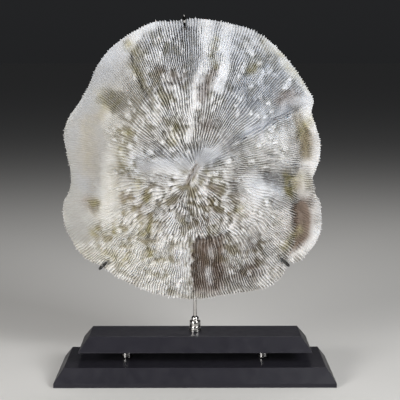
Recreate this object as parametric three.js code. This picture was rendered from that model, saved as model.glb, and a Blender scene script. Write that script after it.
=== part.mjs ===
// A mushroom coral skeleton held upright by wire claws on a stepped black stand.
// Millimetres, +Z up. The coral's ridged face looks towards -Y.
// The origin is the centre of the stand's underside.
import * as THREE from "three";

// Gap left between pieces that touch
const GAP = 0.3;

// Stand: two tiers with slanted sides, held apart by two short standoffs
const LOWER_TIER = { width: 212, depth: 70, lip: 3.2, height: 13.4, inset: 7.2 };
const UPPER_TIER = { width: 177, depth: 46.4, lip: 0.6, height: 10.9, inset: 7.8 };
const TIER_SPACE = 9.8;
const STANDOFF_RADIUS = 4.5;
const STANDOFF_X = 53;

// Turned ferrule and the upright rod that it holds
const ROD_RADIUS = 1.4;
const FERRULE_FOOT = { radius: 4.8, height: 1 };
const FERRULE_LOWER = { radius: 4.45, height: 4.1 };
const FERRULE_UPPER = { radius: 4.25, height: 4.1 };
const FERRULE_DOME = { radius: 2.9, height: 3.6, shoulder: 1.6 };
const FERRULE_CHAMFER = 0.45;

// Coral: place of its centre, and the size of its domed plate
const CORAL_X = 0.4;
const CORAL_Z = 166;
const CORAL_RIM_Y = -5.5;
const DOME_RISE = 26;
const RIM_THICKNESS = 4.5;
const CENTRE_THICKNESS = 13;
const EDGE_ROUNDING = 0.7;
const UNDERSIDE_FOLLOW = 0.7;

// Coral rim seen from the front: degrees anticlockwise from +X, and radius
const RIM_POINTS = [
  [3, 93.4], [10, 94.4], [17, 94.0], [23, 94.3], [28, 99.3], [34, 99.8], [47, 102.4],
  [57, 105.2], [68, 106.8], [78, 106.0], [90, 106.6], [100, 106.2], [106.5, 108.5], [113, 107.5],
  [128.5, 104.9], [137.5, 101.4], [144.5, 97.8], [152.5, 97.6], [161, 100.4], [167, 100.8],
  [176.5, 96.4], [186, 94.0], [191.5, 96.4], [195, 101.0], [200, 106.3], [211.5, 110.6],
  [221, 110.3], [229, 106.2], [240, 105.2], [251, 104.6], [269, 104.6], [284, 103.8],
  [293.5, 107.2], [301.5, 109.8], [308.5, 107.2], [312, 103.5], [316, 108.0], [322, 109.6],
  [329, 109.1], [335.5, 105.0], [342, 98.7], [346, 92.8], [352.5, 89.0], [357, 90.5],
];

// Folds of the face: a line between two points from the coral's centre, its half width and its height
const FOLDS = [
  { from: [5.8, 49], to: [8, 98], width: 4.5, height: 3.5 },
  { from: [19.6, 56], to: [20, 100], width: 4.5, height: 3.5 },
  { from: [9, 49], to: [13.5, 92], width: 4, height: -5 },
  { from: [-10, 63], to: [-8, 96], width: 5, height: -2.5 },
  { from: [-33, 53], to: [-52, 90], width: 4.5, height: -3 },
  { from: [22, 12], to: [82, 40], width: 4.5, height: -4 },
  { from: [75, 27], to: [78, 0], width: 7, height: -6.5 },
  { from: [78, -12], to: [80, -23], width: 6, height: -5 },
  { from: [84, -33], to: [74, -65], width: 7, height: -6.5 },
  { from: [47, -22], to: [40, -42], width: 8, height: 4 },
  { from: [32, -12], to: [20, -36], width: 7, height: -2.5 },
  { from: [-4, -49], to: [-7, -92], width: 4, height: 3 },
  { from: [9.5, -52], to: [13.5, -90], width: 9, height: -4 },
  { from: [-61, 47], to: [-61, 47], width: 8, height: -3.5 },
  { from: [-78, -32], to: [-78, -32], width: 7, height: -3 },
  { from: [-72, -55], to: [-72, -55], width: 5, height: -2 },
];

// Lumps scattered over the face on a sunflower spiral
const LUMP_COUNT = 90;
const LUMP_REACH = 84;
const LUMP_WIDTH = 4.2;
const LUMP_HEIGHT = 1.8;
const SUNFLOWER_TURN = Math.PI * (3 - Math.sqrt(5));

// Radial ridges: the count doubles twice on the way out to the rim
const RIDGE_HEIGHT = 2;
const RIM_RIDGE_SHARE = 0.3;
const RIDGE_FADE_POWER = 12;
const RIM_TEETH = 0.5;
const FRONT_RINGS = 22;
const BACK_RINGS = 7;
const RIM_SPOKES = 160;
const INNER_REACH = 0.22;
const MIDDLE_REACH = 0.5;

// Claws: polished wires that reach from a hub behind the coral and hook over its rim
const HUB_RADIUS = 6;
const HUB_LENGTH = 6;
const WIRE_RADIUS = 1;
const HOOK_CLEARANCE = 1;
const HOOK_REACH = 5;
const HOOK_CORNERS = 4;
const CLAWS = { claw_top: 94.4, claw_left: 228, claw_right: 312 };

const UPPER_TIER_Z = LOWER_TIER.height + TIER_SPACE;
const STAND_TOP = UPPER_TIER_Z + UPPER_TIER.height;
const RING_SIDES = 24;
const WIRE_SIDES = 8;
const STEPS_PER_POINT = 4;

const PAINT = { color: 0x17181a, roughness: 0.42, metalness: 0.1 };
const NICKEL = { color: 0xc9c7c2, roughness: 0.12, metalness: 1 };
const ARAGONITE = { color: 0xe6e2d6, roughness: 0.8, metalness: 0 };

const part = new THREE.Group();

function addPiece(name, geometry, finish) {
  const mesh = new THREE.Mesh(geometry, new THREE.MeshStandardMaterial(finish));
  mesh.name = name;
  part.add(mesh);
  return mesh;
}

// Closed surface through rings of points, from one end point to the other.
// Neighbouring rings may differ in count by a factor of two.
function closedSurface(rings) {
  const positions = rings.flat().flatMap((point) => point.toArray());
  const triangles = [];
  let start = 0;
  for (let k = 0; k + 1 < rings.length; k += 1) {
    const near = rings[k].length;
    const far = rings[k + 1].length;
    const steps = Math.max(near, far);
    for (let i = 0; i < steps; i += 1) {
      const nearThis = start + Math.floor((i * near) / steps);
      const nearNext = start + (Math.floor(((i + 1) * near) / steps) % near);
      const farThis = start + near + Math.floor((i * far) / steps);
      const farNext = start + near + (Math.floor(((i + 1) * far) / steps) % far);
      if (nearThis !== nearNext) triangles.push(nearThis, farThis, nearNext);
      if (farThis !== farNext) triangles.push(nearNext, farThis, farNext);
    }
    start += near;
  }
  const geometry = new THREE.BufferGeometry();
  geometry.setAttribute("position", new THREE.Float32BufferAttribute(positions, 3));
  geometry.setIndex(triangles);
  geometry.computeVertexNormals();
  return geometry;
}

// Upright cylinder from z = 0
function uprightCylinder(radius, height, sides) {
  const geometry = new THREE.CylinderGeometry(radius, radius, height, sides);
  geometry.rotateX(Math.PI / 2);
  geometry.translate(0, 0, height / 2);
  return geometry;
}

// Block with a short upright lip and slanted sides above it
function tierGeometry({ width, depth, lip, height, inset }) {
  const rectangle = (z, shrink) => {
    const x = width / 2 - shrink;
    const y = depth / 2 - shrink;
    return [[-x, -y], [x, -y], [x, y], [-x, y]].map(([px, py]) => new THREE.Vector3(px, py, z));
  };
  return closedSurface([
    [new THREE.Vector3(0, 0, height)],
    rectangle(height, inset),
    rectangle(lip, 0),
    rectangle(0, 0),
    [new THREE.Vector3(0, 0, 0)],
  ]);
}

// Stepped collar, turned around a bore for the rod
function ferruleGeometry() {
  const bore = ROD_RADIUS + GAP;
  const waist = FERRULE_LOWER.height;
  const shoulder = waist + FERRULE_UPPER.height;
  const domeFoot = shoulder + FERRULE_DOME.shoulder;
  const top = shoulder + FERRULE_DOME.height;
  const profile = [
    [bore, 0],
    [FERRULE_FOOT.radius, 0],
    [FERRULE_FOOT.radius, FERRULE_FOOT.height],
    [FERRULE_LOWER.radius, FERRULE_FOOT.height + FERRULE_CHAMFER],
    [FERRULE_LOWER.radius, waist - FERRULE_CHAMFER],
    [FERRULE_UPPER.radius - FERRULE_CHAMFER, waist],
    [FERRULE_UPPER.radius, waist + FERRULE_CHAMFER],
    [FERRULE_UPPER.radius, shoulder - FERRULE_CHAMFER],
    [FERRULE_UPPER.radius - FERRULE_CHAMFER, shoulder],
    [FERRULE_DOME.radius, shoulder],
    [FERRULE_DOME.radius, domeFoot],
    [FERRULE_DOME.radius - FERRULE_CHAMFER, (domeFoot + top) / 2],
    [bore, top],
    [bore, 0],
  ];
  const points = profile.map(([radius, height]) => new THREE.Vector2(radius, height));
  const geometry = new THREE.LatheGeometry(points, RING_SIDES);
  geometry.rotateX(Math.PI / 2);
  return geometry;
}

// Smooth curve of the rim's radius against its angle, repeated so that it closes on itself
const rimTurns = [-360, 0, 360].flatMap((turn) =>
  RIM_POINTS.map(([degrees, radius]) => [degrees + turn, radius]),
);
const rimCurve = new THREE.CubicInterpolant(
  rimTurns.map(([degrees]) => degrees),
  rimTurns.map(([, radius]) => radius),
  1,
);

function rimRadius(angle) {
  return rimCurve.evaluate(THREE.MathUtils.radToDeg(angle))[0];
}

// Height of the folds at a point of the face
function foldHeight(x, z) {
  let height = 0;
  for (const { from, to, width, height: peak } of FOLDS) {
    const run = [to[0] - from[0], to[1] - from[1]];
    const length = Math.hypot(...run);
    const along = length ? ((x - from[0]) * run[0] + (z - from[1]) * run[1]) / length ** 2 : 0;
    const t = THREE.MathUtils.clamp(along, 0, 1);
    const away = Math.hypot(x - from[0] - t * run[0], z - from[1] - t * run[1]);
    height += peak * Math.exp(-((away / width) ** 2));
  }
  return height;
}

// Height of the lumps at a point of the face
function lumpHeight(x, z) {
  let height = 0;
  for (let k = 1; k <= LUMP_COUNT; k += 1) {
    const reach = LUMP_REACH * Math.sqrt(k / LUMP_COUNT);
    const angle = k * SUNFLOWER_TURN;
    const away = Math.hypot(x - reach * Math.cos(angle), z - reach * Math.sin(angle));
    height += LUMP_HEIGHT * Math.exp(-((away / LUMP_WIDTH) ** 2));
  }
  return height;
}

function spokesAt(reach) {
  if (reach < INNER_REACH) return RIM_SPOKES / 4;
  return reach < MIDDLE_REACH ? RIM_SPOKES / 2 : RIM_SPOKES;
}

// One ring of the coral at a share of the way from its centre to its rim
function coralRing(reach, front) {
  const count = spokesAt(reach);
  const smooth = DOME_RISE * (1 - reach ** 2) + RIM_THICKNESS / 2;
  const thickness = RIM_THICKNESS + (CENTRE_THICKNESS - RIM_THICKNESS) * (1 - reach ** 2);
  const ridgeFade = 1 - (1 - RIM_RIDGE_SHARE) * reach ** RIDGE_FADE_POWER;
  const ridgeHeight = RIDGE_HEIGHT * Math.sqrt(reach) * ridgeFade;
  const ring = [];
  for (let i = 0; i < count; i += 1) {
    const angle = (2 * Math.PI * i) / count;
    const ridge = i % 2 === 0 ? 0.5 : -0.5;
    const radius = reach * (rimRadius(angle) + ridge * RIM_TEETH);
    const x = radius * Math.cos(angle);
    const z = radius * Math.sin(angle);
    const folds = foldHeight(x, z);
    const relief = folds + lumpHeight(x, z) + ridge * ridgeHeight;
    const height = front ? smooth + relief : smooth - thickness + UNDERSIDE_FOLLOW * folds;
    ring.push(new THREE.Vector3(x, -height, z));
  }
  return ring;
}

// Outermost ring, halfway through the thickness of the rim
function coralEdge() {
  const face = coralRing(1, true);
  const underside = coralRing(1, false);
  return face.map((point, i) => {
    const edge = point.clone().lerp(underside[i], 0.5);
    const outward = new THREE.Vector3(edge.x, 0, edge.z).setLength(EDGE_ROUNDING);
    return edge.add(outward);
  });
}

function coralGeometry() {
  const rings = [[new THREE.Vector3(0, -DOME_RISE - RIM_THICKNESS / 2, 0)]];
  for (let k = 1; k <= FRONT_RINGS; k += 1) {
    rings.push(coralRing(k / FRONT_RINGS, true));
  }
  rings.push(coralEdge());
  for (let k = BACK_RINGS; k >= 1; k -= 1) {
    rings.push(coralRing(k / BACK_RINGS, false));
  }
  rings.push([new THREE.Vector3(0, CENTRE_THICKNESS - DOME_RISE - RIM_THICKNESS / 2, 0)]);
  return closedSurface(rings);
}

// Wire from the hub, straight out behind the coral, then hooked over its rim
function clawGeometry(degrees) {
  const angle = THREE.MathUtils.degToRad(degrees);
  const rim = rimRadius(angle);
  const bend = RIM_THICKNESS / 2 + WIRE_RADIUS + HOOK_CLEARANCE;
  const bendCentre = rim + EDGE_ROUNDING + WIRE_RADIUS + HOOK_CLEARANCE - bend;
  const slope = (2 * DOME_RISE) / rim;
  const route = [[HUB_RADIUS + WIRE_RADIUS / 2, 0]];
  for (let k = 0; k <= HOOK_CORNERS; k += 1) {
    const turn = Math.PI * (0.5 - k / HOOK_CORNERS);
    route.push([bendCentre + bend * Math.cos(turn), CORAL_RIM_Y + bend * Math.sin(turn)]);
  }
  const tipRise = RIDGE_HEIGHT / 2 + slope * HOOK_REACH;
  route.push([bendCentre - HOOK_REACH, CORAL_RIM_Y - bend - tipRise]);
  const points = route.map(([out, y]) => {
    return new THREE.Vector3(out * Math.cos(angle), y, out * Math.sin(angle));
  });
  const path = new THREE.CatmullRomCurve3(points, false, "centripetal");
  // Equal steps between the points of the route, so that most of them fall in the hook
  path.getUtoTmapping = (share) => share;
  const section = new THREE.Shape();
  for (let i = 0; i < WIRE_SIDES; i += 1) {
    const turn = (2 * Math.PI * i) / WIRE_SIDES;
    const corner = [WIRE_RADIUS * Math.cos(turn), WIRE_RADIUS * Math.sin(turn)];
    if (i === 0) section.moveTo(...corner);
    else section.lineTo(...corner);
  }
  const steps = STEPS_PER_POINT * (route.length - 1);
  return new THREE.ExtrudeGeometry(section, { steps, extrudePath: path });
}

addPiece("lower_tier", tierGeometry(LOWER_TIER), PAINT);
addPiece("upper_tier", tierGeometry(UPPER_TIER), PAINT).position.z = UPPER_TIER_Z;

const standoffHeight = TIER_SPACE - 2 * GAP;
for (const [name, side] of [["standoff_left", -1], ["standoff_right", 1]]) {
  const standoff = addPiece(name, uprightCylinder(STANDOFF_RADIUS, standoffHeight, RING_SIDES), NICKEL);
  standoff.position.set(side * STANDOFF_X, 0, LOWER_TIER.height + GAP);
}

addPiece("ferrule", ferruleGeometry(), NICKEL).position.z = STAND_TOP + GAP;

const rodFoot = STAND_TOP + GAP;
const rodTop = CORAL_Z - HUB_RADIUS - GAP;
const rod = addPiece("rod", uprightCylinder(ROD_RADIUS, rodTop - rodFoot, RING_SIDES / 2), NICKEL);
rod.position.z = rodFoot;

// The hub ends the rod, and the claws and the coral are placed from the coral's centre
const hubGeometry = new THREE.CylinderGeometry(HUB_RADIUS, HUB_RADIUS, HUB_LENGTH, RING_SIDES);
addPiece("hub", hubGeometry, NICKEL).position.set(0, 0, CORAL_Z);
for (const [name, degrees] of Object.entries(CLAWS)) {
  addPiece(name, clawGeometry(degrees), NICKEL).position.set(CORAL_X, 0, CORAL_Z);
}
addPiece("coral", coralGeometry(), ARAGONITE).position.set(CORAL_X, CORAL_RIM_Y, CORAL_Z);

export default part;
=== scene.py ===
"""A mushroom coral held by wire claws on a stepped black stand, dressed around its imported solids."""

import math
from types import SimpleNamespace

import bmesh
import bpy
import numpy as np
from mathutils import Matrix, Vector


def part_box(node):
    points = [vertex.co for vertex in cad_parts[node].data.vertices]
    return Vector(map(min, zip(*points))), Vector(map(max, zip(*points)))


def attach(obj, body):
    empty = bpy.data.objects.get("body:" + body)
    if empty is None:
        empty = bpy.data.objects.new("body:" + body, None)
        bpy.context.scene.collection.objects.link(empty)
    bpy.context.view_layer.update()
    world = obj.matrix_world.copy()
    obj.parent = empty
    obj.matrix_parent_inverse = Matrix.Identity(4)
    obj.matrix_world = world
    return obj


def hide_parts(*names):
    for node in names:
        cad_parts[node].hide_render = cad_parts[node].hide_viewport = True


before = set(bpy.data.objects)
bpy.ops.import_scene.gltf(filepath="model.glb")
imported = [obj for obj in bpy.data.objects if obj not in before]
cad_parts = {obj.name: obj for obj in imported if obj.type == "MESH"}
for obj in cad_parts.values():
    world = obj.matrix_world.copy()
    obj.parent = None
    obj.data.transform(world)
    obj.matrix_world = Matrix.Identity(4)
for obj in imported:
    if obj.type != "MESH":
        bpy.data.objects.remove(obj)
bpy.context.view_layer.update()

# The coral and the claws are worked out in millimetres, and everything is made in metres
MM = 0.001

# Camera, solved from the corners of the stand
IMAGE_SIZE = 400
FOCAL_PIXELS = 1000
SENSOR_WIDTH = 36
CAMERA_PLACE = (0.00025, -0.7548, 0.2446)
CAMERA_DOWN = math.radians(8.12)
CAMERA_RIGHT = math.radians(0.27)

# Coral: centre of its rim, dome and thickness, in millimetres
CORAL_X = 0.4
CORAL_Z = 166
CORAL_RIM_Y = -5.5
DOME_RISE = 26
RIM_THICKNESS = 4.5
CENTRE_THICKNESS = 13
UNDERSIDE_FOLLOW = 0.7

# Coral rim seen from the front: degrees anticlockwise from +X, and radius
RIM_POINTS = np.array([
    (3, 93.4), (10, 94.4), (17, 94.0), (23, 94.3), (28, 99.3), (34, 99.8), (47, 102.4),
    (57, 105.2), (68, 106.8), (78, 106.0), (90, 106.6), (100, 106.2), (106.5, 108.5), (113, 107.5),
    (128.5, 104.9), (137.5, 101.4), (144.5, 97.8), (152.5, 97.6), (161, 100.4), (167, 100.8),
    (176.5, 96.4), (186, 94.0), (191.5, 96.4), (195, 101.0), (200, 106.3), (211.5, 110.6),
    (221, 110.3), (229, 106.2), (240, 105.2), (251, 104.6), (269, 104.6), (284, 103.8),
    (293.5, 107.2), (301.5, 109.8), (308.5, 107.2), (312, 103.5), (316, 108.0), (322, 109.6),
    (329, 109.1), (335.5, 105.0), (342, 98.7), (346, 92.8), (352.5, 89.0), (357, 90.5),
])

# Strokes on the face: from and to in x and z from the coral's centre, half width, and strength.
# A negative strength takes away, and the strength of a fold is its height.
FOLDS = [
    ((6.8, 84), (8, 102), 5, 2.4),
    ((2.2, 61.5), (6, 76), 4.4, 2.4),
    ((-6, 18), (0.7, 54.5), 3.6, 2.0),
    ((22.1, 84), (22.5, 102), 5, 2.0),
    ((16.5, 56), (21.3, 76), 4.4, 2.0),
    ((14.2, 80), (14.5, 95), 3.5, -1.2),
    ((7, 56), (14.2, 80), 3.8, -2.6),
    ((4, 49), (7, 56), 3.8, -2.2),
    ((-10, 63), (-8, 96), 5, -3.0),
    ((-33, 44), (-50, 88), 3, -4.5),
    ((43.8, 65.5), (49.2, 80), 2.5, 2.0),
    ((60, 45), (68, 50), 5, -3.0),
    ((40, -8), (44, -24), 8, 2.0),
    ((44, -24), (39, -40), 8, 2.5),
    ((27.7, -13.9), (31, -30), 6, -3.0),
    ((26.4, -41), (31, -30), 4, -1.5),
    ((54, -8.6), (65.6, -13), 4, -3.5),
    ((49, -17.4), (63.5, -21.7), 3, 2.5),
    ((-7, -49), (-10, -92), 4, 3.0),
    ((-26, -58), (-14, -36), 6, 1.6),
    ((-65, 49), (-58, 45.5), 7.5, -3.5),
    ((-64, 12), (-67, -38), 10, 1.5),
    ((-81, 28), (-80, -4), 8, -1.5),
    ((-78, -32), (-78, -32), 6, -2.5),
    ((-74, -51), (-74, -51), 4.5, -1.5),
    ((1.6, 0.8), (-5.2, -12), 1.0, -2.2),
]

# Places where the septa lie low and the skeleton looks smooth, but not the hollows on the left
SMOOTH = [
    ((-68, 84), (-88, 20), 24, 0.95),
    ((-90, 15), (-92, -45), 20, 0.9),
    ((-66, -2), (-63, -38), 9, 0.7),
    ((-35, 103), (-66, 82), 8, 0.85),
    ((-37, -1), (-8, 2), 6, 0.75),
    ((4, 6), (16, 13), 5, 0.75),
    ((6.8, 84), (8, 104), 4.5, 0.5),
    ((2.2, 61.5), (6, 76), 3.8, 0.5),
    ((-6, 18), (0.7, 54.5), 2.8, 0.5),
    ((16.5, 56), (21.3, 76), 3.8, 0.5),
    ((22.1, 84), (22.5, 104), 4.5, 0.5),
    ((72, 42), (90, 41), 8, 0.85),
    ((40, -8), (44, -24), 5, 0.2),
    ((44, -24), (39, -40), 5, 0.2),
    ((49, -17.4), (63.5, -21.7), 4, 0.35),
    ((94, 30), (94, -5), 9, 0.8),
    ((98, -35), (88, -66), 9, 0.6),
    ((55, 92), (88, 52), 5, 0.7),
    ((-65, 49), (-59, 46), 7, -0.9),
    ((-77, -33), (-74, -50), 5, -0.15),
    ((-78, -31), (-75, -31), 4.5, -0.6),
]

# Painted shade: places where the grooves between the septa are darker, mostly in the hollows, valleys
# and troughs
PAINTED_GROOVE_SHADE = [
    ((25, 30), (59, 58), 6, 0.35),
    ((29, 78), (33, 62), 5, 0.3),
    ((20, 51), (29, 40), 6, 0.3),
    ((-48, 84), (-32, 46), 3, 1.0),
    ((-9, 95), (-13, 62), 5, 0.8),
    ((-22, 68), (-26, 50), 5, 0.5),
    ((20, -18), (14, -29), 5, 0.8),
    ((27, -15), (33, -4), 4, 0.6),
    ((54, -8.6), (65.6, -13), 4, 0.9),
    ((45, -61), (53, -65), 7, 0.5),
    ((30, -45), (22, -52), 6, 0.5),
    ((-36, -50), (-32, -56), 6, 0.6),
    ((-24, 10), (-40, 22), 7, 0.4),
    ((-64, 48), (-58, 45), 5.5, 0.7),
    ((-77, -33), (-74, -50), 5, 0.15),
    ((-78, -31), (-75, -31), 4.5, 0.6),
    ((20, -84), (44, -81), 7, 0.6),
]

# Places where those grooves are pale
PALE = [
    ((25, 85), (70, 45), 22, 0.12),
    ((40, 15), (65, 22), 14, 0.2),
    ((14, 60), (17, 90), 6, 0.4),
    ((50, -30), (66, -60), 16, 0.25),
    ((-50, -40), (-15, -60), 16, 0.3),
    ((-40, -75), (-10, -70), 18, 0.25),
    ((15, -55), (45, -80), 16, 0.25),
    ((45, 10), (60, 20), 10, 0.15),
    ((-70, -62), (-20, -98), 14, 0.35),
    ((20, -25), (45, -55), 20, 0.25),
    ((60, 20), (66, 5), 6, 0.3),
    ((66, -40), (70, -60), 8, 0.4),
    ((48, -88), (64, -80), 6, 0.3),
    ((-14, -70), (-10, -95), 7, 0.5),
]

# Single white tufts
TUFTS = [
    (-19.7, 78.5), (-20.3, 35.5), (-22.5, 57.7), (-19.6, 66.3), (41.8, 80.7), (36.7, 88), (29.9, 67),
    (35, 72), (40.8, 57.6), (32.7, 49), (47.4, 50.3), (55, 68.3), (24.8, 69.9), (66, 57.5), (69, 59),
    (1, -48), (6.5, -46), (11.5, -48.5), (16, -46), (20.5, -50),
]

# White stretches along ridges, the bulge and the rim on the right, and tufts in the wedge: partly the
# skeleton's own white, partly painted highlight on these raised parts
WHITE_AND_HIGHLIGHT = [
    ((6.8, 84), (8, 104), 4.5, 0.45),
    ((2.2, 61.5), (6, 76), 4, 0.4),
    ((-6, 18), (0.7, 54.5), 3, 0.35),
    ((16.5, 56), (21.3, 76), 4, 0.3),
    ((22.1, 84), (22.5, 104), 4.5, 0.25),
    ((40, -8), (44, -24), 6, 0.15),
    ((44, -24), (39, -40), 6, 0.15),
    ((-26, -58), (-14, -36), 5.5, 0.35),
    ((49, -17.4), (63.5, -21.7), 3, 0.4),
    ((-10, -55), (-13, -92), 5, 0.5),
    ((64, 1), (88, -1), 3, 0.4),
    ((12.6, -64), (12.6, -69), 2.5, 0.5),
    ((10, -80), (10, -90), 2.5, 0.6),
    ((88, 40), (93, 28), 5, 0.3),
    ((95, 28), (93, 0), 3, 0.45),
    ((100, -35), (90, -62), 4, 0.35),
]

# Places with many raised lobes on the septa, and with fewer in the dimple on the left
LOBED = [
    ((-8, -8), (8, -4), 12, 0.5),
    ((-38, -35), (2, -48), 26, 0.9),
    ((-10, -20), (12, -28), 18, 0.75),
    ((-40, 15), (-15, 40), 20, 0.6),
    ((-22, 55), (-22, 85), 15, 0.7),
    ((32, 55), (45, 75), 18, 0.3),
    ((15, -68), (45, -65), 22, 0.5),
    ((-62, -52), (-20, -86), 18, 0.9),
    ((30, 10), (60, 20), 14, 0.1),
    ((-62.5, 47.5), (-62.5, 47.5), 12, -0.2),
]

# Olive stains down in the hollows
OLIVE = [
    ((-66, 49), (-59, 46), 7, 0.55),
    ((-70, 34), (-66, 42), 4, 0.2),
    ((-80, 30), (-80, -2), 7, 0.15),
    ((-51, 24.4), (-51, 24.4), 4, 0.8),
    ((-56, 12.7), (-52.7, -0.4), 4, 0.45),
    ((-42.5, -12.7), (-42.5, -12.7), 3.5, 0.7),
    ((-36, -23), (-36, -23), 3, 0.8),
    ((-75.5, -31), (-75.5, -31), 4, 0.9),
    ((-74.4, -51), (-74.4, -51), 3.5, 0.7),
    ((-60.5, -50), (-60.5, -50), 3, 0.6),
    ((-39.4, -50), (-35, -45), 4, 0.7),
    ((-33.7, -66.5), (-33.7, -66.5), 3, 0.8),
    ((-52, -70.6), (-52, -70.6), 3.5, 0.8),
    ((-68, -67), (-62, -70), 4, 0.6),
    ((-9, -41.6), (-9, -41.6), 3.5, 0.5),
    ((42.4, 72.7), (41, 69), 3.5, 0.7),
    ((13, 72), (14, 90), 3, 0.5),
    ((-16.7, 18.3), (-14.5, 32), 3, 0.5),
    ((-37, 57.6), (-44, 73), 3.5, 0.6),
    ((-48, 88), (-40, 80), 4, 0.5),
    ((32.2, -32), (32.2, -32), 3.5, 0.7),
    ((68.5, -9), (69.5, -10), 3.5, 1.6),
    ((70.5, -19), (71, -21), 3.5, 1.5),
    ((78, -50.5), (68.6, -62), 4, 0.7),
    ((78, 24), (86, 34), 4, 0.5),
    ((83, 20), (83, 2), 6, 0.15),
    ((75, -14), (82, -14), 6, 0.3),
    ((52, 88), (84, 58), 4, 0.4),
]

# Brown and mauve stains of the sunken parts
BROWN = [
    ((12.3, 68), (3, 49), 4, 0.6),
    ((-25.5, 67.7), (-11.6, 64), 5, 0.6),
    ((8.6, 30.6), (8.6, 30.6), 5, 0.5),
    ((1.6, 0.8), (-5.2, -12), 1.7, 1.0),
    ((6.5, -41.6), (10.9, -17.4), 5, 0.45),
    ((-30, -30), (15, -40), 30, 0.2),
    ((40, -60), (15, -75), 25, 0.15),
    ((-39, -32), (-50.8, -23.4), 4, 0.5),
    ((63.8, 48), (70, 52), 5, 0.6),
    ((83, 20), (83, 2), 6, 0.45),
    ((80, -32), (79, -50), 8, 0.9),
    ((43, -58), (43.7, -79), 6, 0.35),
    ((-81, -29), (-76, -33), 5, 0.45),
    ((-81, 30), (-80, -4), 8, 0.18),
    ((-72, 34), (-66, 41), 4, 0.2),
    ((20, -84), (44, -81), 7, 0.35),
]

# Bluish white of the top and upper right, of the smooth patches and of the rim on the left
COOL = [
    ((-10, 95), (40, 80), 40, 0.8),
    ((45, 40), (70, 60), 25, 0.7),
    ((-44, 3), (14, 8), 9, 0.8),
    ((45, -15), (62, -20), 10, 0.7),
    ((-62, 82), (-84, 40), 10, 0.6),
    ((-91, 25), (-95, 15), 6, 0.4),
    ((-86, -9), (-79, -17), 6, 0.7),
]

# Yellowish cream of the left side, but not of its dimple
CREAM = [
    ((-80, 40), (-90, -40), 40, 0.9),
    ((-40, -60), (-80, -60), 25, 0.6),
    ((-60, -25), (-20, -80), 24, 0.5),
    ((-64, 48), (-58, 45), 7, -0.7),
]

# Dull greyish parts: the left and lower left, the smooth patches and slit at the centre, the valley at
# the top, and the rim. Partly their own grey and partly painted shade, which darkens the valley at the
# top, the dimple and hollows on the left and the left side. Two bands on the left stay brighter, partly
# as painted light on the ridge there.
DULL_AND_SHADED = [
    ((-60, 85), (-85, 0), 24, 0.6),
    ((-85, 0), (-80, -50), 22, 0.75),
    ((-48, -10), (-25, -42), 22, 0.55),
    ((24, -16), (20, -28), 6, 0.3),
    ((-36, 0), (-4, 4), 7, 0.35),
    ((2, 6), (30, 16), 7, 0.6),
    ((2, -1), (-5, -12), 8, 0.7),
    ((95, 30), (94, -5), 8, 0.3),
    ((74, 43), (92, 42), 9, 0.4),
    ((98, -35), (88, -66), 9, 0.3),
    ((5, 104), (24, 104), 14, 0.2),
    ((-12, 95), (-14, 62), 9, 0.35),
    ((-58, 45), (-58, 45), 4.5, 0.2),
    ((-65, 4), (-68, -40), 12, -0.38),
    ((-81, 28), (-80, -4), 7, 0.2),
    ((-84, -10), (-79, -17), 6, -0.15),
]

# Edge of the raised plate on the right: degrees, radius, and depth of the trough beyond it
PLATE_EDGE = np.array([
    (-54, 101, 0), (-44, 93, 4.5), (-35, 87.5, 8.5), (-25, 76.7, 8), (-19, 74, 2), (-12, 70.5, 5),
    (-8, 68.5, 5.5), (-1, 72, 2.5), (3, 73.8, 5.5), (16, 76, 8.5), (25, 76, 5.5), (36, 79, 0),
])

# Trough beyond the plate: distances from its edge where it starts and is deep, on the face and on the
# underside, and the share of the way to the rim where it begins to rise again
FACE_TROUGH = (-0.5, 6)
BACK_TROUGH = (-9, 5)
TROUGH_RISE = 0.3

# Groove that runs out from the centre to the upper right: the shares of its length where it fades in
# and out, its depth, and at each end the widths of its smooth lower and gentle upper flank
GROOVE_FROM = (20, 11)
GROOVE_TO = (84, 41)
GROOVE_FADE_IN = (-0.05, 0.4)
GROOVE_FADE_OUT = (0.7, 1.1)
GROOVE_DEPTH = 5.5
GROOVE_FLANK = (3, 9)
GROOVE_SLOPE = (8, 20)

# Sunken wedge below the centre: its left border, top, width and depth, and where it ends at the rim
WEDGE_LEFT = -3.5
WEDGE_TOP = -49
WEDGE_WIDTH = 28
WEDGE_DEPTH = 4
WEDGE_FOOT = (-106, -92)

# Septa: three spokes make one septum, a crest and two points of the groove beside it.
# Each order starts at a share of the way to the rim, later by chance on some septa.
SEPTA = 336
SPOKES_PER_SEPTUM = 3
SEPTUM_HEIGHT = 1.8
SEPTUM_START = np.array([0.02, 0.125, 0.27, 0.56])
SEPTUM_LATE = np.array([0, 0.03, 0.06, 0.12])
SEPTUM_RAMP = 0.04

# Rings of the face and of the underside: reach, thinning of the spokes, and ring count
FACE_ZONES = [(0.125, 8, 8), (0.27, 4, 16), (0.56, 2, 34), (1.0, 1, 56)]
BACK_ZONES = [(0.3, 4, 10), (1.0, 2, 26)]

# Mouth slit that the septa come from: its middle, half length, slant and depth, the share of the way to
# the rim over which they open out, and its knobs
SLIT_MIDDLE = np.array([-1.8, -5.5])
SLIT_HALF = 7.5
SLIT_SLANT = math.radians(61)
SLIT_DEPTH = 2
SLIT_REACH = 0.6
SLIT_KNOBS = 5
KNOB_OFFSET = 3.2

# Raised lobes: tries to place one, its chance away from the strokes, squared reach, size, and spread of
# the ring of painted shade round it
LOBE_TRIES = 1100
LOBE_CHANCE = 0.06
LOBE_SPREAD = (0.01, 0.86)
LOBE_SIZE = 2.1
SHADE_RING_SPREAD = 3

# Smooth patches: how far they are smoothed at most, and the sharpness of their borders
SMOOTH_MOST = 0.9
SMOOTH_SHARPNESS = 4

# Heights between which the warmer lower half of the face begins
LOWER_HALF = (-8, -20)

# Wave of the underside's growth rings, in radians from the centre to the rim
GROWTH_WAVE = 55

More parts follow.
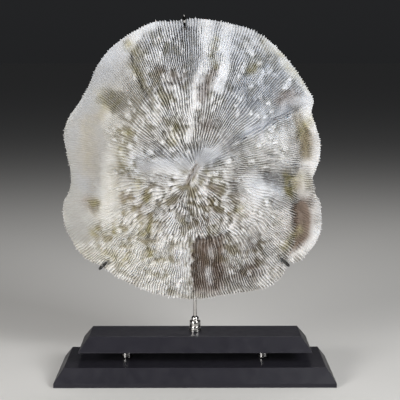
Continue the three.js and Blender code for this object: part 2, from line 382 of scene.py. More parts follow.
# Chance: cells of a noise table, and one generator whose draws always come in the same order
NOISE_CELLS = 64
SEED = 11

rng = np.random.default_rng(SEED)
septum_late = rng.uniform(0, 1, SEPTA)
septum_size = rng.uniform(0.7, 1.1, SEPTA)
septum_tooth = rng.uniform(-0.6, 0.9, SEPTA)


def smooth_step(low, high, value):
    """Rises from 0 at low to 1 at high."""
    t = np.clip((value - low) / (high - low), 0, 1)
    return t * t * (3 - 2 * t)


def rim_radius(angle):
    """Radius of the coral's rim at an angle in radians, on a smooth closed curve."""
    degrees = np.degrees(angle) % 360
    x = np.concatenate([RIM_POINTS[-2:, 0] - 360, RIM_POINTS[:, 0], RIM_POINTS[:2, 0] + 360])
    y = np.concatenate([RIM_POINTS[-2:, 1], RIM_POINTS[:, 1], RIM_POINTS[:2, 1]])
    slopes = np.gradient(y, x)
    k = np.searchsorted(x, degrees, side="right") - 1
    width = x[k + 1] - x[k]
    t = (degrees - x[k]) / width
    level = (1 + 2 * t) * (1 - t) ** 2 * y[k] + t * t * (3 - 2 * t) * y[k + 1]
    lean = t * (1 - t) ** 2 * slopes[k] - t * t * (1 - t) * slopes[k + 1]
    return level + width * lean


def strokes(x, z, lines, sharpness=2):
    """Sum of soft strokes at points of the face, with clearer borders where the sharpness is higher."""
    total = np.zeros_like(x)
    for start, end, width, strength in lines:
        run = np.subtract(end, start)
        length = max(run @ run, 1e-9)
        t = np.clip(((x - start[0]) * run[0] + (z - start[1]) * run[1]) / length, 0, 1)
        away = np.hypot(x - start[0] - t * run[0], z - start[1] - t * run[1])
        total += strength * np.exp(-((away / width) ** sharpness))
    return total


def blend_table(table, u, v):
    """Values of a table between its cells, smooth and repeated past its ends."""
    rows, columns = table.shape
    i = np.floor(u).astype(int)
    j = np.floor(v).astype(int)
    s = smooth_step(0, 1, u - i)
    t = smooth_step(0, 1, v - j)
    low = table[i % rows, j % columns] * (1 - s) + table[(i + 1) % rows, j % columns] * s
    high = table[i % rows, (j + 1) % columns] * (1 - s) + table[(i + 1) % rows, (j + 1) % columns] * s
    return low * (1 - t) + high * t


def lump_noise(x, z, size, seed):
    """Random values between -1 and 1 in lumps about size wide."""
    table = np.random.default_rng(seed).uniform(-1, 1, (NOISE_CELLS, NOISE_CELLS))
    u = (x * math.cos(seed) - z * math.sin(seed)) / size
    v = (x * math.sin(seed) + z * math.cos(seed)) / size
    return blend_table(table, u, v)


def ring_grid(zones):
    """Reach, spoke count and spoke number of every point, and the ring sizes."""
    reaches = []
    counts = []
    inner = 0
    for outer, thinning, rings in zones:
        reaches += [inner + (outer - inner) * k / rings for k in range(1, rings + 1)]
        counts += [SEPTA * SPOKES_PER_SEPTUM // thinning] * rings
        inner = outer
    index = np.concatenate([np.arange(count) for count in counts])
    return np.repeat(reaches, counts), np.repeat(counts, counts), index, counts


def closed_faces(counts):
    """Triangles of a closed surface through rings with these counts of points."""
    faces = []
    start = 0
    for near, far in zip(counts, counts[1:]):
        steps = max(near, far)
        i = np.arange(steps)
        near_this = start + i * near // steps
        near_next = start + (i + 1) * near // steps % near
        far_this = start + near + i * far // steps
        far_next = start + near + (i + 1) * far // steps % far
        faces.append(np.stack([near_this, far_this, near_next], 1)[near_this != near_next])
        faces.append(np.stack([near_next, far_this, far_next], 1)[far_this != far_next])
        start += near
    return np.concatenate(faces)


def spread_points(reach, radius, angle):
    """Places on the face: rays that leave the mouth slit and open out towards the rim."""
    inner = (1 - smooth_step(0, SLIT_REACH, reach))[:, None]
    slit = np.array([math.cos(SLIT_SLANT), math.sin(SLIT_SLANT)])
    along = (SLIT_HALF * np.cos(angle - SLIT_SLANT))[:, None]
    place = np.stack([radius * np.cos(angle), radius * np.sin(angle)], 1)
    place += inner * (SLIT_MIDDLE + along * slit)
    return place[:, 0], place[:, 1]


def septum_numbers(spokes, index):
    """Number of the septum that each spoke belongs to, counted at the rim."""
    thinning = SEPTA * SPOKES_PER_SEPTUM // spokes
    return index // SPOKES_PER_SEPTUM * thinning


def crest_share(reach, spokes, index):
    """Height share of the septa: about 1 on a crest and 0 in the groove beside it."""
    septum = septum_numbers(spokes, index)
    # Every eighth septum is of the first order, every fourth of the second, every other of the third
    order = 3 - (septum % 2 == 0) - (septum % 4 == 0).astype(int) - (septum % 8 == 0)
    begin = SEPTUM_START[order] + SEPTUM_LATE[order] * septum_late[septum]
    grown = smooth_step(begin, begin + SEPTUM_RAMP, reach)
    return (index % SPOKES_PER_SEPTUM == 0) * septum_size[septum] * grown


def scatter(tries, places):
    """Random places on the face, kept by how strong the strokes are there."""
    angle = rng.uniform(0, 2 * math.pi, tries)
    reach = np.sqrt(rng.uniform(*LOBE_SPREAD, tries))
    x = reach * rim_radius(angle) * np.cos(angle)
    z = reach * rim_radius(angle) * np.sin(angle)
    keep = rng.uniform(0, 1, tries) < LOBE_CHANCE + strokes(x, z, places)
    return np.stack([x[keep], z[keep]], 1)


def bumps(x, z, places, size):
    """Share between 0 and 1 of round flat-topped bumps, and of the rings round them that take painted
    shade.
    """
    total = np.zeros_like(x)
    halo = np.zeros_like(x)
    for px, pz in places:
        out = math.hypot(px, pz)
        along = ((x - px) * px + (z - pz) * pz) / out / (size * rng.uniform(0.8, 1.5))
        across = ((z - pz) * px - (x - px) * pz) / out / (size * rng.uniform(0.6, 1.1))
        away = along**2 + across**2
        strength = rng.uniform(0.4, 1)
        total = np.maximum(total, strength * np.exp(-(away**2)))
        halo = np.maximum(halo, strength * np.exp(-((away / SHADE_RING_SPREAD) ** 2)))
    return total, halo - total


def slit_knobs():
    """Places of the knobs along both sides of the mouth slit."""
    slit = np.array([math.cos(SLIT_SLANT), math.sin(SLIT_SLANT)])
    aside = np.array([-slit[1], slit[0]]) * KNOB_OFFSET
    along = SLIT_MIDDLE + np.outer(np.linspace(-1, 1, SLIT_KNOBS) * SLIT_HALF, slit)
    return np.concatenate([along + aside, along - aside])


def plate_trough(x, z, rim, fringe, start, end):
    """Depth of the trough that begins from start to end beyond the edge of the right-hand plate."""
    radius = np.hypot(x, z)
    degrees = (np.degrees(np.arctan2(z, x)) + 180) % 360 - 180
    edge = np.interp(degrees, PLATE_EDGE[:, 0], PLATE_EDGE[:, 1]) + fringe
    depth = np.interp(degrees, PLATE_EDGE[:, 0], PLATE_EDGE[:, 2])
    rise = smooth_step(TROUGH_RISE, 1, (radius - edge) / np.maximum(rim - edge, 1))
    return depth * smooth_step(start, end, radius - edge) * (1 - rise)


def groove_shape(x, z, fringe):
    """Depth of the groove to the upper right, and shares of its smooth flank and toothed edge."""
    run = np.subtract(GROOVE_TO, GROOVE_FROM)
    length = np.hypot(*run)
    along = ((x - GROOVE_FROM[0]) * run[0] + (z - GROOVE_FROM[1]) * run[1]) / length**2
    above = ((z - GROOVE_FROM[1]) * run[0] - (x - GROOVE_FROM[0]) * run[1]) / length - fringe
    flank = np.interp(along, (0, 1), GROOVE_FLANK)
    slope = np.interp(along, (0, 1), GROOVE_SLOPE)
    ends = smooth_step(*GROOVE_FADE_IN, along) * (1 - smooth_step(*GROOVE_FADE_OUT, along))
    down = smooth_step(0, 0.7, above / flank)
    back_up = smooth_step(0, 1, (above - flank) / slope)
    bare = ends * smooth_step(0, 0.2, above / flank) * (1 - smooth_step(0.5, 1.4, above / flank))
    edge = ends * np.exp(-((above / 1.5) ** 2))
    return GROOVE_DEPTH * ends * down * (1 - back_up), bare, edge


def wedge_depth(x, z):
    """Depth of the sunken wedge below the centre."""
    across = (x - WEDGE_LEFT) / WEDGE_WIDTH
    ragged = 4 * lump_noise(x, z, 5, seed=24) + 2.5 * lump_noise(x, z, 2.5, seed=27)
    sides = smooth_step(0, 0.08, across + 0.02 * ragged) * (1 - smooth_step(0.65, 1, across))
    top = smooth_step(0, 5, WEDGE_TOP - z + ragged)
    return WEDGE_DEPTH * sides * top * smooth_step(*WEDGE_FOOT, z)


def face_layout():
    """Points of the face, on septa that wander sideways and end in uneven teeth at the rim."""
    reach, spokes, index, counts = ring_grid(FACE_ZONES)
    angle = 2 * math.pi * index / spokes
    crest = crest_share(reach, spokes, index)
    rim = rim_radius(angle)
    x, z = spread_points(reach, reach * rim, angle)
    smooth = np.clip(strokes(x, z, SMOOTH, SMOOTH_SHARPNESS), 0, SMOOTH_MOST)
    wander = 1.1 * lump_noise(x, z, 12, seed=5) + 0.5 * lump_noise(x, z, 5, seed=6)
    wander *= 0.8 + 0.7 * smooth_step(0, -20, z)
    wander += rng.uniform(-0.12, 0.12, len(x))
    turn = angle + wander * smooth_step(0.06, 0.25, reach) / np.maximum(reach * rim, 8)
    tooth = crest * (0.7 + 1.2 * septum_tooth[septum_numbers(spokes, index)]) * (1 - 0.2 * smooth)
    radius = reach * rim + tooth * smooth_step(0.95, 1, reach)
    x, z = spread_points(reach, radius, turn)
    return SimpleNamespace(x=x, z=z, reach=reach, rim=rim, crest=crest, index=index, counts=counts)


def add_forms(face):
    """Gives the face its large forms: the trough, groove and wedge, and the smooth and cream parts."""
    x = face.x
    z = face.z
    # Strokes are laid on places shifted a little by noise, so that their borders are ragged
    near_x = x + 1.6 * lump_noise(x, z, 9, seed=41) + 0.9 * lump_noise(x, z, 3, seed=43)
    near_z = z + 1.6 * lump_noise(x, z, 9, seed=42) + 0.9 * lump_noise(x, z, 3, seed=44)
    face.near = (near_x, near_z)
    fringe = 3.0 * face.crest + 1.5 * lump_noise(x, z, 4, seed=7)
    face.trough = plate_trough(x, z, face.rim, fringe, *FACE_TROUGH)
    fringe = 2.5 * face.crest + 1.5 * lump_noise(x, z, 4, seed=9)
    face.groove, face.bare, face.edge = groove_shape(x, z, fringe)
    face.wedge = wedge_depth(x, z)
    smooth = np.clip(strokes(*face.near, SMOOTH, SMOOTH_SHARPNESS), 0, SMOOTH_MOST)
    smooth += 1.5 * smooth * (SMOOTH_MOST - smooth) * lump_noise(x, z, 6, seed=45)
    smooth += np.maximum(face.bare, smooth_step(1, 4, face.trough))
    face.smooth = np.clip(smooth, 0, SMOOTH_MOST)
    face.cream = np.clip(strokes(*face.near, CREAM), 0, 1)
    face.lower = smooth_step(*LOWER_HALF, z)


def add_lobes(face):
    """Gives the face its lobes with the rings of painted shade round them, its mottled tufts, and grains
    on the crests.
    """
    x = face.x
    z = face.z
    places = np.concatenate([TUFTS, slit_knobs(), scatter(LOBE_TRIES, LOBED)])
    ragged_x = x + 1.2 * lump_noise(x, z, 1.9, seed=16)
    ragged_z = z + 1.2 * lump_noise(x, z, 1.9, seed=17)
    lobes, halo = bumps(ragged_x, ragged_z, places, LOBE_SIZE)
    face.rough = (1 - face.smooth) * (1 - 0.7 * face.wedge / WEDGE_DEPTH)
    face.lobes = lobes * face.rough
    # Rings round the lobes take painted shade, darker and olive
    face.halo = halo * face.rough
    face.lobed = np.clip(0.12 + strokes(*face.near, LOBED), 0, 1) * face.rough
    face.mottle = 0.65 * lump_noise(x, z, 6.2, seed=10) + 0.6 * lump_noise(x, z, 3.1, seed=13)
    face.tuft = np.maximum(face.lobes, face.lobed * smooth_step(0.0, 0.3, face.mottle))
    face.grains = rng.uniform(-1, 1, len(x)) * np.clip(face.crest, 0, 1) * (1 - face.smooth)


def face_height(face):
    """Height of the face: its dome, folds, sunken parts, tufts, septa and grains."""
    height = DOME_RISE * (1 - face.reach**2) + RIM_THICKNESS / 2
    height += strokes(*face.near, FOLDS) - face.trough - face.groove - face.wedge
    height += 0.4 * face.rough * face.mottle + face.tuft * (1.1 + 0.9 * face.crest)
    septum = SEPTUM_HEIGHT * (1 - 0.94 * face.smooth) * (1 - 0.55 * face.cream)
    septum *= smooth_step(0.0, 0.12, face.reach)
    height += septum * (face.crest - 0.55) * (1 - 0.5 * smooth_step(0.92, 1, face.reach))
    return height + 0.7 * face.grains * (1 - 0.5 * face.cream)


def face_groove_dirt_and_shade(face):
    """How much of the dark groove colour the face takes, partly dirt and partly painted shade: in the
    grooves between the septa, and on the low grains of the crests.
    """
    groove_dirt_and_shade = 0.92 - 0.12 * face.lower - 0.25 * face.mottle
    groove_dirt_and_shade += strokes(*face.near, PAINTED_GROOVE_SHADE) - strokes(*face.near, PALE) + 0.15 * face.halo
    groove_dirt_and_shade *= 1 - 0.88 * face.smooth
    groove_dirt_and_shade *= 1 - 0.3 * face.tuft
    groove_dirt_and_shade *= 1 - 0.5 * face.lobes
    groove_dirt_and_shade = np.clip(groove_dirt_and_shade, 0.3 - 0.3 * face.smooth, 1)
    groove_dirt_and_shade *= 1 - np.clip(face.crest, 0, 1)
    # Painted shade: one groove point beside each septum takes less of the dark colour than the other, as
    # if the septa were lit from one side
    groove_dirt_and_shade *= np.where(face.index % SPOKES_PER_SEPTUM == 2, 0.75, 1.0)
    return groove_dirt_and_shade - 0.35 * np.minimum(face.grains, 0)


def face_masks(face):
    """Masks for the colours of the face."""
    sunk = smooth_step(1, 7, face.trough)
    spots = face.lobed * smooth_step(0.0, 0.5, -face.mottle)
    olive = strokes(*face.near, OLIVE) * (1 + 0.6 * lump_noise(face.x, face.z, 3, seed=15))
    olive *= 1 - 0.4 * face.crest
    # Whiter crests of the tufts and lobes: partly the skeleton's own white, partly painted highlight
    white = face.tuft * (0.15 + 0.65 * face.crest + 0.3 * face.grains) * (1 - 0.5 * face.cream)
    white += 0.25 * face.lobes + strokes(*face.near, WHITE_AND_HIGHLIGHT)
    brown = strokes(*face.near, BROWN) * (1 - 0.6 * face.lobes) + sunk * (0.55 + 0.4 * face.lower)
    brown += 0.3 * spots * face.lower
    brown += face.wedge / WEDGE_DEPTH * (1.0 - 0.35 * face.crest)
    dull_and_shaded = strokes(*face.near, DULL_AND_SHADED)
    dull_and_shaded += face.smooth * (0.38 + 0.35 * lump_noise(face.x, face.z, 17, seed=51))
    dull_and_shaded += 0.45 * face.bare
    # Painted shade dulls the pits between the tufts
    dull_and_shaded += 0.4 * spots
    return {
        "groove_dirt_and_shade": face_groove_dirt_and_shade(face),
        "white": white * (1 - 0.7 * np.clip(olive, 0, 1)) + 0.8 * face.edge * face.crest,
        "olive": olive + 0.4 * spots + 0.2 * face.halo + 0.3 * sunk * (1 - face.lower),
        "brown": brown,
        "cool": strokes(*face.near, COOL) + face.bare,
        "cream": face.cream,
        "dull_and_shaded": dull_and_shaded,
    }


def coral_face():
    """Points of the ridged face, their masks for the colours, and the ring sizes."""
    face = face_layout()
    add_forms(face)
    add_lobes(face)
    points = np.stack([face.x, -face_height(face), face.z], 1)
    return points, face_masks(face), face.counts


def coral_back():
    """Points of the ribbed hollow underside from the rim inwards, their masks, and the ring sizes."""
    reach, spokes, index, counts = ring_grid(BACK_ZONES)
    angle = 2 * math.pi * index / spokes
    rim = rim_radius(angle)
    x = reach * rim * np.cos(angle)
    z = reach * rim * np.sin(angle)
    thickness = RIM_THICKNESS + (CENTRE_THICKNESS - RIM_THICKNESS) * (1 - reach**2)
    height = DOME_RISE * (1 - reach**2) + RIM_THICKNESS / 2 - thickness
    groove = groove_shape(x, z, 0)[0]
    sunk = plate_trough(x, z, rim, 0, *BACK_TROUGH) + groove + wedge_depth(x, z)
    height += UNDERSIDE_FOLLOW * (strokes(x, z, FOLDS) - sunk)
    rib = (index % 2 == 0) * rng.uniform(0.5, 1.1, len(x)) * smooth_step(0.1, 0.3, reach)
    growth = np.sin(reach * GROWTH_WAVE + 2.5 * lump_noise(x, z, 35, seed=32))
    mottle = 0.6 * lump_noise(x, z, 14, seed=31) + 0.4 * lump_noise(x, z, 5, seed=33)
    height -= 0.9 * rib + 0.4 * mottle + 0.3 * growth
    masks = {
        # Underside: darker between the ribs, where the mottle is low and along the growth rings, partly
        # dirt and partly painted shade
        "groove_dirt_and_shade": (0.45 - 0.2 * mottle - 0.15 * growth) * (1 - np.clip(rib, 0, 1)),
        "white": 0.25 * rib,
        "olive": 0.5 * smooth_step(0.1, 0.5, mottle),
        "brown": 0.25 + 0.2 * smooth_step(0.4, 0.1, reach) - 0.3 * mottle,
        "cream": np.full(len(x), 0.8),
    }
    order = np.argsort(-reach, kind="stable")
    points = np.stack([x, -height, z], 1)
    return points[order], {name: mask[order] for name, mask in masks.items()}, counts[::-1]


def link_piece(mesh, node):
    """Puts a mesh in the scene as the piece that stands for a CAD node."""
    piece = bpy.data.objects.new(mesh.name, mesh)
    bpy.context.scene.collection.objects.link(piece)
    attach(piece, "root")
    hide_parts(node)


def make_coral(material):
    """The coral as one closed mesh, with its colour masks on its points."""
    face, masks, face_counts = coral_face()
    back, back_masks, back_counts = coral_back()
    top = [[SLIT_MIDDLE[0], -DOME_RISE - RIM_THICKNESS / 2 + SLIT_DEPTH, SLIT_MIDDLE[1]]]
    bottom = [[0, CENTRE_THICKNESS - DOME_RISE - RIM_THICKNESS / 2, 0]]
    points = np.concatenate([top, face, back, bottom]) + (CORAL_X, CORAL_RIM_Y, CORAL_Z)
    faces = closed_faces([1, *face_counts, *back_counts, 1])
    mesh = bpy.data.meshes.new("coral_skeleton")
    mesh.from_pydata((points * MM).tolist(), [], faces.tolist())
    for name, mask in masks.items():
        back_mask = back_masks.get(name, np.zeros(len(back)))
        values = np.concatenate([mask[:1], mask, back_mask, back_mask[-1:]]).astype(np.float32)
        mesh.attributes.new(name, "FLOAT", "POINT").data.foreach_set("value", np.clip(values, 0, 1))
    mesh.materials.append(material)
    link_piece(mesh, "coral")


# Range that most noise values lie in
NOISE_RANGE = (0.3, 0.7)

# Coral colours: its whites, the shade of its dull parts, the dark colour of its grooves, partly dirt and
# partly painted shade, and its stains
PLAIN_WHITE = (0.86, 0.85, 0.835, 1)
CREAM_WHITE = (0.80, 0.79, 0.745, 1)
COOL_WHITE = (0.80, 0.83, 0.88, 1)
TUFT_WHITE_AND_HIGHLIGHT = (0.84, 0.84, 0.85, 1)
# Grey that dulls parts of the face, partly their own tone and partly painted shade
DULL_SHADE = (0.40, 0.40, 0.405, 1)
# Dark colours of the grooves: partly dirt, partly painted shade
PLAIN_DIRT_AND_SHADE = (0.12, 0.108, 0.092, 1)
COOL_DIRT_AND_SHADE = (0.105, 0.112, 0.128, 1)
CREAM_DIRT_AND_SHADE = (0.22, 0.195, 0.145, 1)
BROWN_DIRT_AND_SHADE = (0.11, 0.075, 0.058, 1)
OLIVE_DIRT_AND_SHADE = (0.14, 0.125, 0.055, 1)
BROWN_STAIN = (0.21, 0.157, 0.122, 1)
OLIVE_STAIN = (0.42, 0.38, 0.22, 1)

# Dark and bright tints of the stand's paint, of its nickel and of the claws' nickel, which is darker as
# a painted reflection of dark surroundings
PAINT_TINTS = ((0.011, 0.0105, 0.015, 1), (0.017, 0.016, 0.022, 1))
NICKEL_TINTS = ((0.50, 0.49, 0.475, 1), (0.62, 0.60, 0.58, 1))
DARK_REFLECTION_TINTS = ((0.07, 0.068, 0.066, 1), (0.15, 0.146, 0.14, 1))


def new_material(name):
    """A material, its node tree and its shader."""
    material = bpy.data.materials.new(name)
    material.use_nodes = True
    return material, material.node_tree, material.node_tree.nodes["Principled BSDF"]


def set_input(tree, socket, value):
    """Links a socket to another, or gives it a constant."""
    if isinstance(value, bpy.types.NodeSocket):
        tree.links.new(value, socket)
    else:
        socket.default_value = value


def mix_colours(tree, share, first, second, kind="MIX"):
    """Colour that goes from first to second by a share."""
    node = tree.nodes.new("ShaderNodeMix")
    node.data_type = "RGBA"
    node.blend_type = kind
    set_input(tree, node.inputs["Factor"], share)
    set_input(tree, node.inputs[6], first)
    set_input(tree, node.inputs[7], second)
    return node.outputs[2]


def noise(tree, grain, detail):
    """Noise over the object with grains of a size in metres."""
    place = tree.nodes.new("ShaderNodeTexCoord")
    node = tree.nodes.new("ShaderNodeTexNoise")
    node.inputs["Scale"].default_value = 1 / grain
    node.inputs["Detail"].default_value = detail
    tree.links.new(place.outputs["Object"], node.inputs["Vector"])
    return node.outputs["Fac"]


def spread(tree, value, low, high):
    """Spreads a noise value over the range from low to high."""
    node = tree.nodes.new("ShaderNodeMapRange")
    node.inputs["From Min"].default_value = NOISE_RANGE[0]
    node.inputs["From Max"].default_value = NOISE_RANGE[1]
    node.inputs["To Min"].default_value = low
    node.inputs["To Max"].default_value = high
    tree.links.new(value, node.inputs["Value"])
    return node.outputs["Result"]


def add_bump(tree, shader, height, depth, strength):
    """Fine relief from a noise value."""
    node = tree.nodes.new("ShaderNodeBump")
    node.inputs["Distance"].default_value = depth
    node.inputs["Strength"].default_value = strength
    tree.links.new(height, node.inputs["Height"])
    tree.links.new(node.outputs["Normal"], shader.inputs["Normal"])


def mix_by_mask(tree, mask, first, second):
    """Colour that goes from first to second by a mask on the coral's points."""
    node = tree.nodes.new("ShaderNodeAttribute")
    node.attribute_name = mask
    return mix_colours(tree, node.outputs["Fac"], first, second)


def coral_colour(tree):
    """Colour of the coral: cream, bluish and dull whites, dirt and painted shade in the grooves, stains
    and tufts.
    """
    white = mix_by_mask(tree, "cream", PLAIN_WHITE, CREAM_WHITE)
    white = mix_by_mask(tree, "cool", white, COOL_WHITE)
    dulled_and_shaded = mix_colours(tree, 1.0, white, DULL_SHADE, "MULTIPLY")
    white = mix_by_mask(tree, "dull_and_shaded", white, dulled_and_shaded)
    dirt_and_shade = mix_by_mask(tree, "cool", PLAIN_DIRT_AND_SHADE, COOL_DIRT_AND_SHADE)
    dirt_and_shade = mix_by_mask(tree, "cream", dirt_and_shade, CREAM_DIRT_AND_SHADE)
    dirt_and_shade = mix_by_mask(tree, "brown", dirt_and_shade, BROWN_DIRT_AND_SHADE)
    dirt_and_shade = mix_by_mask(tree, "olive", dirt_and_shade, OLIVE_DIRT_AND_SHADE)
    tinged = mix_by_mask(tree, "brown", white, BROWN_STAIN)
    tinged = mix_by_mask(tree, "olive", tinged, OLIVE_STAIN)
    # The grooves take their dark colour of dirt and painted shade
    colour = mix_by_mask(tree, "groove_dirt_and_shade", tinged, dirt_and_shade)
    # Whites of tufts, lobes and ridges: partly own white, partly painted highlight
    colour = mix_by_mask(tree, "white", colour, TUFT_WHITE_AND_HIGHLIGHT)
    grain = spread(tree, noise(tree, grain=0.0016, detail=4), low=0.93, high=1.03)
    return mix_colours(tree, 1.0, colour, grain, "MULTIPLY")


def coral_material():
    """Porous, slightly translucent aragonite."""
    material, tree, shader = new_material("aragonite")
    tree.links.new(coral_colour(tree), shader.inputs["Base Color"])
    roughness = spread(tree, noise(tree, grain=0.004, detail=3), low=0.62, high=0.85)
    tree.links.new(roughness, shader.inputs["Roughness"])
    add_bump(tree, shader, noise(tree, grain=0.0006, detail=3), depth=0.0002, strength=0.12)
    shader.inputs["Subsurface Weight"].default_value = 0.12
    shader.inputs["Subsurface Radius"].default_value = (1.0, 0.8, 0.6)
    shader.inputs["Subsurface Scale"].default_value = 0.0015
    return material


def paint_material():
    """Satin black paint with a fine orange peel."""
    material, tree, shader = new_material("black_paint")
    tint = mix_colours(tree, noise(tree, grain=0.02, detail=5), *PAINT_TINTS)
    tree.links.new(tint, shader.inputs["Base Color"])
    roughness = spread(tree, noise(tree, grain=0.008, detail=6), low=0.34, high=0.46)
    tree.links.new(roughness, shader.inputs["Roughness"])
    add_bump(tree, shader, noise(tree, grain=0.0009, detail=2), depth=0.00005, strength=0.25)
    shader.inputs["Specular IOR Level"].default_value = 0.35
    return material


def nickel_material(name, tints):
    """Polished nickel with faint wear, between a darker and a brighter tint."""
    material, tree, shader = new_material(name)
    tint = mix_colours(tree, noise(tree, grain=0.003, detail=4), *tints)
    tree.links.new(tint, shader.inputs["Base Color"])
    roughness = spread(tree, noise(tree, grain=0.0015, detail=5), low=0.16, high=0.28)
    tree.links.new(roughness, shader.inputs["Roughness"])
    add_bump(tree, shader, noise(tree, grain=0.0008, detail=3), depth=0.000004, strength=0.2)
    shader.inputs["Metallic"].default_value = 1
    return material


# Stand: the lip and slant of each tier, and the rounding of its edges, in metres
TIER_SHAPES = {"lower_tier": (0.0032, 0.0072), "upper_tier": (0.0006, 0.0078)}
TIER_BEVEL = 0.00025
BEVEL_SEGMENTS = 3
CORNERS = [(0, 0), (1, 0), (1, 1), (0, 1)]


def make_tier(node, material):
    """A block with an upright lip, slanted sides and rounded edges."""
    lip, inset = TIER_SHAPES[node]
    low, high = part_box(node)
    shape = bmesh.new()
    rings = []
    for z, shrink in [(low.z, 0), (low.z + lip, 0), (high.z, inset)]:
        xs = (low.x + shrink, high.x - shrink)
        ys = (low.y + shrink, high.y - shrink)
        rings.append([shape.verts.new((xs[i], ys[j], z)) for i, j in CORNERS])
    shape.faces.new(rings[0][::-1])
    shape.faces.new(rings[-1])
    for near, far in zip(rings, rings[1:]):
        for k in range(len(CORNERS)):
            following = (k + 1) % len(CORNERS)
            shape.faces.new((near[k], near[following], far[following], far[k]))
    bmesh.ops.bevel(
        shape,
        geom=shape.edges[:],
        offset=TIER_BEVEL,
        segments=BEVEL_SEGMENTS,
        profile=0.5,
        affect="EDGES",
    )
    mesh = bpy.data.meshes.new(node + "_block")
    shape.to_mesh(mesh)
    shape.free()
    mesh.materials.append(material)
    link_piece(mesh, node)


# Turned pieces: sides round them, chamfers in metres, and the angle above which an edge is sharp
BAR_SIDES = 48
TURNED_SIDES = 64
ROD_CHAMFER = 0.0002
STANDOFF_CHAMFER = 0.0003
HUB_CHAMFER = 0.0006
SHARP_ANGLE = math.radians(32)


def swept_mesh(name, rings, looped, material):
    """Mesh through equal rings of points, closed by end caps or back to its first ring."""
    rows, columns = rings.shape[:2]
    faces = []
    for r in range(rows if looped else rows - 1):
        near = r * columns
        far = (r + 1) % rows * columns
        for c in range(columns):
            following = (c + 1) % columns
            faces.append((near + c, near + following, far + following, far + c))
    if not looped:
        faces.append(tuple(range(columns))[::-1])
        faces.append(tuple(range((rows - 1) * columns, rows * columns)))
    mesh = bpy.data.meshes.new(name)
    mesh.from_pydata(rings.reshape(-1, 3).tolist(), [], faces)
    mesh.shade_smooth()
    mesh.set_sharp_from_angle(angle=SHARP_ANGLE)
    mesh.materials.append(material)
    return mesh


def turned_rings(profile, sides):
    """Rings of a turned shape: the profile holds radius and height above the foot."""
    turn = np.linspace(0, 2 * math.pi, sides, endpoint=False)
    circle = np.stack([np.cos(turn), np.sin(turn), np.zeros(sides)], 1)
    return np.array([radius * circle + (0, 0, height) for radius, height in profile])


def bar_profile(radius, length, chamfer):
    """Profile of a plain bar with chamfered ends."""
    return [
        (radius - chamfer, 0),
        (radius, chamfer),
        (radius, length - chamfer),
        (radius - chamfer, length),
    ]


def make_bar(node, chamfer, material):
    """An upright polished bar in place of a CAD node."""
    low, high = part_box(node)
    profile = bar_profile((high.x - low.x) / 2, high.z - low.z, chamfer)
    rings = turned_rings(profile, BAR_SIDES)
    rings += ((low.x + high.x) / 2, (low.y + high.y) / 2, low.z)
    link_piece(swept_mesh(node + "_bar", rings, False, material), node)


def make_hub(material):
    """The boss behind the coral: a short bar that lies along Y."""
    low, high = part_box("hub")
    profile = bar_profile((high.x - low.x) / 2, high.y - low.y, HUB_CHAMFER)
    rings = turned_rings(profile, TURNED_SIDES)
    rings = np.stack([rings[..., 0], rings[..., 2] + low.y, (low.z + high.z) / 2 - rings[..., 1]], -1)
    link_piece(swept_mesh("hub_boss", rings, False, material), "hub")


# Ferrule profile above its foot, in metres: radius and height, round its bore
FERRULE_PROFILE = [
    (0.0017, 0), (0.0047, 0), (0.0048, 0.0001), (0.0048, 0.0009), (0.0046, 0.0012), (0.00445, 0.0014),
    (0.00445, 0.0036), (0.0043, 0.0039), (0.0040, 0.0041), (0.0040, 0.0043), (0.00425, 0.0046),
    (0.00425, 0.0077), (0.0041, 0.0080), (0.0038, 0.0082), (0.0029, 0.0082), (0.0030, 0.0085),
    (0.0030, 0.0095), (0.00285, 0.0103), (0.0025, 0.0110), (0.0021, 0.0115), (0.0017, 0.0118),
]


def make_ferrule(material):
    """The stepped collar at the foot of the rod."""
    low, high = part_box("ferrule")
    rings = turned_rings(FERRULE_PROFILE, TURNED_SIDES)
    rings += ((low.x + high.x) / 2, (low.y + high.y) / 2, low.z)
    link_piece(swept_mesh("ferrule_collar", rings, True, material), "ferrule")


# Claws: wires from the hub that hook over the coral's rim, in millimetres and degrees, and the counts
# of points along and round them
HUB_RADIUS = 6
WIRE_RADIUS = 1
HOOK_CLEARANCE = 1
HOOK_REACH = 5
RIM_OVERHANG = 0.7
TIP_RISE = 1
HOOK_POINTS = 25
TIP_POINTS = 9
ROUND_POINTS = 6
WIRE_SIDES = 16
CLAWS = {"claw_top": 94.4, "claw_left": 228, "claw_right": 312}


def claw_route(degrees):
    """Middle of a claw's wire, as distance from the coral's centre and Y."""
    rim = float(rim_radius(math.radians(degrees)))
    bend = RIM_THICKNESS / 2 + WIRE_RADIUS + HOOK_CLEARANCE
    centre = rim + RIM_OVERHANG + WIRE_RADIUS + HOOK_CLEARANCE - bend
    turn = np.linspace(math.pi / 2, -math.pi / 2, HOOK_POINTS)
    hook = np.stack([centre + bend * np.cos(turn), CORAL_RIM_Y + bend * np.sin(turn)], 1)
    tip = hook[-1] - (HOOK_REACH, TIP_RISE + HOOK_REACH * 2 * DOME_RISE / rim)
    knee = hook[-1] - (HOOK_REACH / 2, 0)
    t = np.linspace(0, 1, TIP_POINTS)[1:, None]
    end = (1 - t) ** 2 * hook[-1] + 2 * t * (1 - t) * knee + t * t * tip
    return np.concatenate([[(HUB_RADIUS + WIRE_RADIUS / 2, 0)], hook, end])


